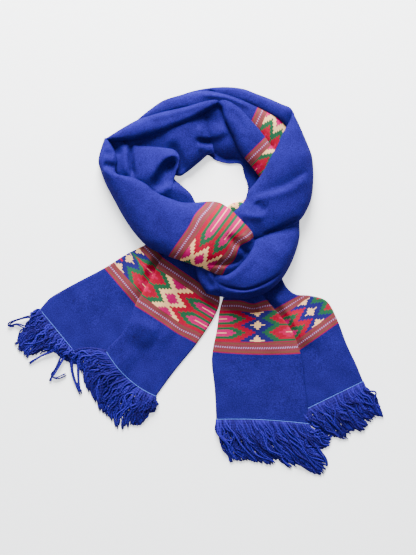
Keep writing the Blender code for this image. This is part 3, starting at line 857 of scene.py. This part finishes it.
TAIL_RIGHT_FRONT = [
    (50, -10, 100, -7, 0, 0, 6, 10),
    (44, -26, 114, -28, 0, 0, 6, 8),
    (38, -48, 129, -47, 0, 0, 5.2, 5),
    (34, -77, 153, -77, 0, 0, 4.2, 3.5),
    (28, -106, 166, -109, 3, 0, 3.6, 3),
    (26, -130, 172, -135, 2, 0, 3.6, 3),
    (30, -165, 175, -167, 0, 0, 3.6, 3),
    (32, -194, 179, -197, -2, 0, 3.6, 3),
    (33, -220, 182, -227, -3, 0, 3.4, 3),
]
TAIL_RIGHT_REAR = [
    (100, 3, 137, 9, 0, 0, 0, 5),
    (102, -16, 146, -9, 0, 0, 0, 5),
    (111, -39, 161, -20, 0, 0, 0, 4),
    (126, -58, 183, -22, 0, 0, 0, 3.2),
    (138, -77, 210, -31, 0, 0, 0, 3),
    (148, -106, 227, -61, 0, 0, 0, 3),
    (156, -138, 242, -100, 0, 0, 0, 3),
    (162, -173, 257, -132, 0, 0, 0, 3),
    (170, -207, 268, -159, 0, 0, 0, 3),
]
LIFT_FROM, LIFT_TO = 0.28, 0.52  # where across its width an overlapping panel rises on to the one under it
LIFT_SHIFT = 0.14  # how much further across that is where it is edge B that rises
PANEL_ACROSS = 64
HEM_POINTS = 7  # round each long edge
HEM_ROUND = 3.0  # how far in its rounding reaches
HEM_UNDER = 7.0  # how far the fold's lower ply is carried in
PANEL_FULL = 5.0  # height from which a panel takes its creases fully


def panel_rows(table):
    """The table's sections and, for each, the direction in which the panel runs."""
    rows, places = eased(table, ROW_STEPS)
    middle = rows[:, 0:2] + rows[:, 2:4]
    way = np.gradient(middle, axis=0)
    return rows, places, way / np.hypot(*way.T)[:, None]


def laid_panel(name, table, creases, band, seed):
    """A tail panel as a shell of doubled cloth: flat on top, turned under along both of its long edges."""
    rows, places, ways = panel_rows(table)
    points = []
    for values, way in zip(rows, ways):
        cut = Panel(*values)
        width = math.hypot(cut.bx - cut.ax, cut.by - cut.ay)
        ux, uy = (cut.bx - cut.ax) / width, (cut.by - cut.ay) / width
        half = cut.thick / 2
        turned = [(math.sin(a), math.cos(a)) for a in np.linspace(math.pi, 0.0, HEM_POINTS)]
        hem = [(HEM_UNDER, 0.0)] + [(HEM_ROUND * (1 - s), half * (1 + c)) for s, c in turned]
        flat = [(d, cut.thick) for d in np.linspace(HEM_ROUND, width - HEM_ROUND, PANEL_ACROSS)][1:-1]
        section = hem + flat + [(width - d, z) for d, z in reversed(hem)]
        ring = []
        for d, z in section:
            t = d / width
            rise = smoothstep(LIFT_FROM, LIFT_TO, t if cut.lift_a else t - LIFT_SHIFT)
            out = cut.bow * 4 * t * (1 - t)
            lift = cut.lift_a + (cut.lift_b - cut.lift_a) * rise
            ring.append((cut.ax + ux * d + way[0] * out, cut.ay + uy * d + way[1] * out, lift + z))
        points.append(ring)
    points = creased(ruffled(np.array(points), seed), creases, PANEL_FULL)
    dressed(name, points, cloth_places(points, places, table, band))


laid_panel(
    "tail_left_under_cloth", TAIL_LEFT_UNDER,
    [
        ([(-52, 70), (-65, 49), (-79, 25), (-92, -4), (-105, -39)], 11, 20, 12),
        ([(-50, 51), (-66, 28), (-82, 0)], 7, 7, -3),
        ([(-86, 16), (-108, -16), (-134, -58)], 14, 10, -1.5),
        ([(-124, 9), (-166, -23), (-204, -48)], 16, 16, 1.6),
        ([(-134, -29), (-159, -58), (-178, -84)], 10, 10, -1.2),
    ],
    Band(0.85, 3.0, 0.85, 3.0, ((-122, 24), (-89, 51)), 51.5, -1), 21,
)
laid_panel(
    "tail_left_over_cloth", TAIL_LEFT_OVER,
    [
        ([(-114, -64), (-82, -72), (-31, -92)], 14, 24, 4.5),
        ([(-118, -98), (-92, -106), (-60, -112)], 10, 12, -1.6),
        ([(-47, -58), (-63, -93), (-79, -128)], 14, 14, 1.5),
        ([(-9, -29), (-22, -71), (-44, -112)], 10, 12, -1.2),
    ],
    Band(1.0, 3.0, 1.0, 3.0, ((-28, -1), (-52, -47)), -48.5, -1,
         (((-34, -36), 26, -4.0), ((-22, -71), 18, -3.5), ((14, -20), 12, -2.5))),
    22,
)
laid_panel(
    "tail_right_rear_cloth", TAIL_RIGHT_REAR,
    [
        ([(114, -10), (134, -31), (151, -53), (166, -79), (177, -112)], 22, 9, 13),
        ([(174, -93), (193, -119), (209, -154)], 12, 14, -1.6),
        ([(199, -61), (222, -109), (241, -144)], 10, 10, 1.4),
    ],
    Band(2.5, 5.45, 2.3, 5.1, ((173, -32), (195, -64)), 51.5, -1), 23,
)
laid_panel(
    "tail_right_front_cloth", TAIL_RIGHT_FRONT,
    [
        ([(76, -23), (87, -32), (97, -44), (100, -58)], 3, 6, -6),
        ([(65, -109), (71, -151), (74, -189)], 14, 18, 1.5),
        ([(122, -101), (129, -149), (135, -197)], 14, 14, -1.6),
    ],
    Band(1.2, 4.25, 1.0, 4.2, ((99, -54), (99, -94)), 51.5, -1, (((92, -37), 15, -6.5),)),
    24,
)


# The fringe: the warp's own wool ends, twisted in yarns along each panel's end and left about 80 mm long, in
# tangled locks with a few yarns astray. A pale thread is stitched along their roots. Each line of tips, and
# of the places where the yarns bend, runs beside the panel's end from A to B.
Spread = namedtuple("Spread", "bends tips strays count locks")
SPREADS = {
    "left_under": Spread(
        [(-260, -48), (-252, -74), (-241, -93), (-222, -109), (-198, -116)],
        [(-266, -72), (-286, -96), (-284, -111), (-268, -124), (-242, -112), (-222, -114), (-207, -127),
         (-188, -132)],
        [
            [(-246, -50), (-260, -55), (-274, -58), (-292, -63), (-298, -69), (-290, -71)],
            [(-249, -48), (-255, -61), (-270, -72), (-286, -68), (-297, -71)],
            [(-233, -64), (-255, -79), (-271, -90), (-289, -100)],
            [(-207, -95), (-225, -108), (-244, -117), (-266, -131)],
            [(-201, -103), (-215, -120), (-223, -140), (-230, -149), (-222, -154), (-207, -148)],
            [(-201, -103), (-212, -125), (-225, -144), (-230, -152), (-232, -159)],
        ],
        230, 9),
    "left_over": Spread(
        [(-191, -101), (-178, -112), (-162, -135), (-143, -164), (-124, -186), (-92, -202), (-65, -196)],
        [(-190, -132), (-178, -154), (-174, -170), (-158, -191), (-153, -204), (-134, -220), (-122, -237),
         (-103, -229), (-87, -229), (-73, -205)],
        [
            [(-140, -112), (-169, -106), (-193, -112), (-199, -132), (-193, -157), (-183, -180)],
            [(-138, -116), (-162, -109), (-185, -117), (-188, -141), (-186, -164), (-185, -176)],
            [(-137, -117), (-166, -111), (-191, -116), (-198, -135), (-190, -164), (-183, -176)],
        ],
        340, 12),
    "right_rear": Spread(
        [(185, -228), (215, -215), (247, -202), (282, -186)],
        [(202, -247), (217, -244), (241, -255), (249, -240), (273, -239), (278, -226), (292, -213),
         (300, -215), (292, -192)],
        [
            [(177, -205), (190, -224), (196, -240), (212, -250), (220, -240)],
            [(202, -196), (212, -215), (217, -231), (220, -244)],
        ],
        265, 11),
    "right_front": Spread(
        [(34, -253), (81, -255), (126, -258), (167, -263), (196, -253)],
        [(58, -288), (79, -284), (100, -287), (122, -292), (132, -280), (154, -298), (170, -290), (191, -308),
         (202, -309), (209, -290), (199, -269), (214, -261), (217, -245)],
        [
            [(175, -228), (186, -244), (199, -250), (218, -240)],
            [(177, -228), (193, -260), (207, -282), (210, -295)],
        ],
        390, 15),
}
YARN_DEEP = (0.0022, 0.0009, 0.015, 1.0)
YARN_BRIGHT = (0.0170, 0.0085, 0.205, 1.0)
THREAD_PALE = (0.052, 0.100, 0.420, 1.0)
PLY_PITCH = 0.0045  # metres in which a yarn's twist goes once round
PLY_HEIGHT = 0.0003
PLY_LIGHT_AND_SHADE, OWN_TONE, CLOUD_TONE = 0.2, 0.8, 0.3  # how much the painted highlight and shade along its plies, its own tone and its patches add
YARN_CLOUD = (160.0, 3.0)  # scale and detail of its patches
YARN_ROUGHNESS = 0.8
YARN_SPECULAR = 0.06


def build_yarn(name, deep, bright):
    """Twisted wool yarn: slanting plies in its bump, which also paint highlight and shade on its colour, and
    a tone of its own for each yarn, both read from its UV map.
    """
    material = bpy.data.materials.new(name)
    material.use_nodes = True
    tree = material.node_tree
    shader = tree.nodes["Principled BSDF"]
    uv = tree.nodes.new("ShaderNodeUVMap")
    uv.uv_map = "cloth"
    split = tree.nodes.new("ShaderNodeSeparateXYZ")
    tree.links.new(uv.outputs[0], split.inputs[0])
    turns = maths(tree, "ADD", maths(tree, "DIVIDE", split.outputs["X"], PLY_PITCH), split.outputs["Y"])
    ply = maths(tree, "ABSOLUTE", maths(tree, "SINE", maths(tree, "MULTIPLY", turns, math.pi)))
    place = tree.nodes.new("ShaderNodeTexCoord")
    cloud = tree.nodes.new("ShaderNodeTexNoise")
    cloud.inputs["Scale"].default_value, cloud.inputs["Detail"].default_value = YARN_CLOUD
    tree.links.new(place.outputs["Object"], cloud.inputs["Vector"])
    own = tree.nodes.new("ShaderNodeTexWhiteNoise")
    own.noise_dimensions = "1D"
    tree.links.new(maths(tree, "FLOOR", split.outputs["Y"]), own.inputs["W"])
    dull = maths(tree, "MULTIPLY", own.outputs["Value"], own.outputs["Value"])
    # The plies' crowns are painted lighter and the grooves between them darker: painted highlight and shade
    # of the twist
    tone = maths(tree, "MULTIPLY_ADD", ply, PLY_LIGHT_AND_SHADE, maths(tree, "MULTIPLY", dull, OWN_TONE))
    tone = maths(tree, "ADD", tone, maths(tree, "MULTIPLY", cloud.outputs["Fac"], CLOUD_TONE))
    tree.links.new(layered(tree, deep, bright, tone), shader.inputs["Base Color"])
    bump = tree.nodes.new("ShaderNodeBump")
    bump.inputs["Distance"].default_value = PLY_HEIGHT
    tree.links.new(ply, bump.inputs["Height"])
    tree.links.new(bump.outputs[0], shader.inputs["Normal"])
    shader.inputs["Roughness"].default_value = YARN_ROUGHNESS
    shader.inputs["Specular IOR Level"].default_value = YARN_SPECULAR
    return material


yarn = build_yarn("blue_yarn", YARN_DEEP, YARN_BRIGHT)
pale_thread = build_yarn("pale_thread", THREAD_PALE, THREAD_PALE)

YARN_RADIUS = 1.5
YARN_SIDES = 6
YARN_POINTS = 22
YARN_TIP = 0.6  # how thick a yarn's tip is beside the rest of it
YARN_HEIGHT = 7.0  # of the heap of yarns at its middle
YARN_THICK = (0.75, 1.1)  # least and most share of the radius
YARN_WAVE = 3.8  # how far a yarn sways aside on its own
YARN_WAVES = (1.4, 3.2)  # fewest and most waves along it
FINE_WAVE, FINE_PHASE, FINE_TURNS = 0.4, 2.3, 13.0  # the finer wave on those
YARN_BOW = 2.4  # how far a yarn bows out of its lock
LOCK_WAVE = 4.4  # how far a lock sways aside
LOCK_WAVES = (0.6, 1.3)
SWAYS = (0.3, 1.0)  # least and most share of either sway
LOCK_PLACE = (0.2, 0.8)  # where in its share of the panel's end a lock lies
LOCK_PULL = (0.05, 0.35)  # how far it draws its yarns together
LOCK_REACH = (0.95, 1.03)  # how long it is beside the way to the line of tips
LOCK_MISS = 0.25  # by how much of a lock's width a yarn may land in another lock
SHORTER = 0.25  # how much shorter than its lock the shortest yarn is
TIP_SLIDE = 0.07  # how far a tip slides along the line of tips, so that the yarns cross
HELD_ROOT, HELD_TIP = 2.6, 0.6  # how soon past its root a yarn sways fully, and how much its tip is held
ROOT_RISE = 0.3  # how far a root lies over its panel's underside
COMES_DOWN = 0.3  # share of its length over which a yarn comes down from the panel
STRAY_PAIR = 1.9  # how far apart the two yarns of a stray lie
STRAY_STEPS = 6  # points made for each of its own
STRAY_WAVE, STRAY_TURNS = 0.7, 2.6  # how far it sways, and how fast
STRAY_HEIGHT = 4.0
STRAY_HUMP = (0.3, 1.0)  # the part of a hump that its height follows
STRAY_THICK = (0.7, 0.9)
THREAD_RADIUS = 0.5
THREAD_POINTS = 60


def along_line(points, share):
    """The point at this share of a line through the given points."""
    line = np.array(points, float)
    place = share * (len(line) - 1)
    i = min(int(place), len(line) - 2)
    return line[i] + (place - i) * (line[i + 1] - line[i])


def tubes(name, routes, radii, sides, material):
    """Round yarns along the routes (rows of x, y, z in millimetres), tapered at their tips, in one mesh."""
    verts, faces, uvs = [], [], []
    for number, (route, radius) in enumerate(zip(routes, radii)):
        route = np.array(route, float)
        way = np.gradient(route, axis=0)
        way /= np.linalg.norm(way, axis=1)[:, None]
        side = np.cross(way, (0.0, 0.0, 1.0))
        side /= np.maximum(np.linalg.norm(side, axis=1), 1e-6)[:, None]
        up = np.cross(side, way)
        run = np.concatenate([[0.0], np.cumsum(np.linalg.norm(np.diff(route, axis=0), axis=1))])
        first, rings = len(verts), len(route)
        taper = np.ones(rings)
        taper[-1] = YARN_TIP
        for k in range(rings):
            for s in range(sides):
                angle = 2 * math.pi * s / sides
                out = side[k] * math.cos(angle) + up[k] * math.sin(angle)
                verts.append(tuple((route[k] + out * radius * taper[k]) * MM))
        for k in range(rings - 1):
            for s in range(sides):
                a, b = first + k * sides + s, first + k * sides + (s + 1) % sides
                faces.append((a, b, b + sides, a + sides))
                for length, turn in ((k, s), (k, s + 1), (k + 1, s + 1), (k + 1, s)):
                    uvs.append((run[length] * MM, turn / sides + number))
        faces.append(tuple(first + s for s in reversed(range(sides))))
        faces.append(tuple(first + (rings - 1) * sides + s for s in range(sides)))
        uvs += [(0.0, float(number))] * sides + [(run[-1] * MM, float(number))] * sides
    mesh = bpy.data.meshes.new(name)
    mesh.from_pydata(verts, [], faces)
    layer = mesh.uv_layers.new(name="cloth")
    layer.data.foreach_set("uv", np.array(uvs).reshape(-1))
    mesh.shade_smooth()
    piece = bpy.data.objects.new(name, mesh)
    bpy.context.scene.collection.objects.link(piece)
    shape = bmesh.new()
    shape.from_mesh(mesh)
    bmesh.ops.recalc_face_normals(shape, faces=shape.faces)
    shape.to_mesh(mesh)
    shape.free()
    mesh.materials.append(material)
    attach(piece, "root")
    return piece


def end_line(table, share):
    """The point at this share along the end of a tail panel."""
    row = Panel(*table[-1])
    before = Panel(*table[-2])
    way = np.array([row.ax + row.bx - before.ax - before.bx, row.ay + row.by - before.ay - before.by], float)
    way /= np.hypot(*way)
    lift = row.lift_a + (row.lift_b - row.lift_a) * smoothstep(
        LIFT_FROM, LIFT_TO, share if row.lift_a else share - LIFT_SHIFT)
    across = np.array([row.ax + (row.bx - row.ax) * share, row.ay + (row.by - row.ay) * share])
    x, y = across + way * (row.bow * 4 * share * (1 - share))
    return np.array([x, y, lift])


Lock = namedtuple("Lock", "middle pull phase waves sway reach")


def fringe(panel, table, seed):
    """A panel's fringe and the pale thread along its roots."""
    spread = SPREADS[panel]
    luck = np.random.default_rng(seed)
    hanks = []
    for k in range(spread.locks):
        middle = (k + luck.uniform(*LOCK_PLACE)) / spread.locks
        pull = luck.uniform(*LOCK_PULL)
        sway = luck.uniform(*SWAYS) * LOCK_WAVE
        reach = luck.uniform(*LOCK_REACH)
        phase = luck.uniform(0, 2 * math.pi)
        hanks.append(Lock(middle, pull, phase, luck.uniform(*LOCK_WAVES), sway, reach))
    routes, radii = [], []
    for k in range(spread.count):
        share = (k + luck.uniform(0.0, 1.0)) / spread.count
        aim = share + luck.normal(0, LOCK_MISS / spread.locks)
        lock = min(hanks, key=lambda one: abs(one.middle - aim))
        root = end_line(table, share)
        slide = luck.normal(0, TIP_SLIDE)
        phase = luck.uniform(0, 2 * math.pi)
        waves = luck.uniform(*YARN_WAVES)
        sway = luck.uniform(*SWAYS) * YARN_WAVE
        reach = lock.reach * (1.0 - SHORTER * luck.uniform() ** 3)
        top = luck.uniform(0.0, 1.0) * YARN_HEIGHT
        bow = luck.normal(0, YARN_BOW)
        route = []
        for t in np.linspace(0.0, reach, YARN_POINTS):
            place = min(max(share + (lock.middle - share) * lock.pull * t ** 1.5 + slide * t, 0.0), 1.0)
            bend, tip = along_line(spread.bends, place), along_line(spread.tips, place)
            spot = root[:2] * (1 - t) ** 2 + bend * 2 * t * (1 - t) + tip * t * t
            way = (bend - root[:2]) * (1 - t) + (tip - bend) * t
            side = np.array([-way[1], way[0]]) / max(np.hypot(*way), 1.0)
            loose = min(HELD_ROOT * t, 1.0) * (1 - HELD_TIP * t ** 4)
            aside = lock.sway * math.sin(lock.phase + 2 * math.pi * lock.waves * t)
            aside += bow * math.sin(math.pi * t)
            finer = FINE_WAVE * math.sin(FINE_PHASE * phase + FINE_TURNS * t)
            aside += sway * (math.sin(phase + 2 * math.pi * waves * t) + finer)
            x, y = spot + side * aside * loose
            rest = min(t, 1.0)
            high = (root[2] + ROOT_RISE) * (1 - smoothstep(0.0, COMES_DOWN, rest))
            high += top * math.sin(math.pi * rest ** 0.75)
            route.append((x, y, YARN_RADIUS + max(float(high), 0.0)))
        routes.append(route)
        radii.append(YARN_RADIUS * luck.uniform(*YARN_THICK))
    for stray in spread.strays:
        line, places = eased(stray, STRAY_STEPS)
        for aside in (-0.5, 0.5):
            wave = np.sin(places * STRAY_TURNS + luck.uniform(0, 6)) * STRAY_WAVE + aside * STRAY_PAIR
            way = np.gradient(line, axis=0)
            side = np.column_stack([-way[:, 1], way[:, 0]]) / np.hypot(*way.T)[:, None]
            high = YARN_RADIUS + STRAY_HEIGHT * np.sin(np.pi * np.linspace(*STRAY_HUMP, len(line)))
            routes.append(np.column_stack([line + side * wave[:, None], high]))
            radii.append(YARN_RADIUS * luck.uniform(*STRAY_THICK))
    piece = tubes("fringe_%s_yarns" % panel, routes, radii, YARN_SIDES, yarn)
    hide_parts("fringe_%s" % panel)
    thick = Panel(*table[-1]).thick
    over = (0.0, 0.0, thick + THREAD_RADIUS)
    seam = [end_line(table, share) + over for share in np.linspace(0.0, 1.0, THREAD_POINTS)]
    tubes("edge_thread_%s" % panel, [seam], [THREAD_RADIUS], YARN_SIDES, pale_thread)


fringe("left_under", TAIL_LEFT_UNDER, 31)
fringe("left_over", TAIL_LEFT_OVER, 32)
fringe("right_rear", TAIL_RIGHT_REAR, 33)
fringe("right_front", TAIL_RIGHT_FRONT, 34)
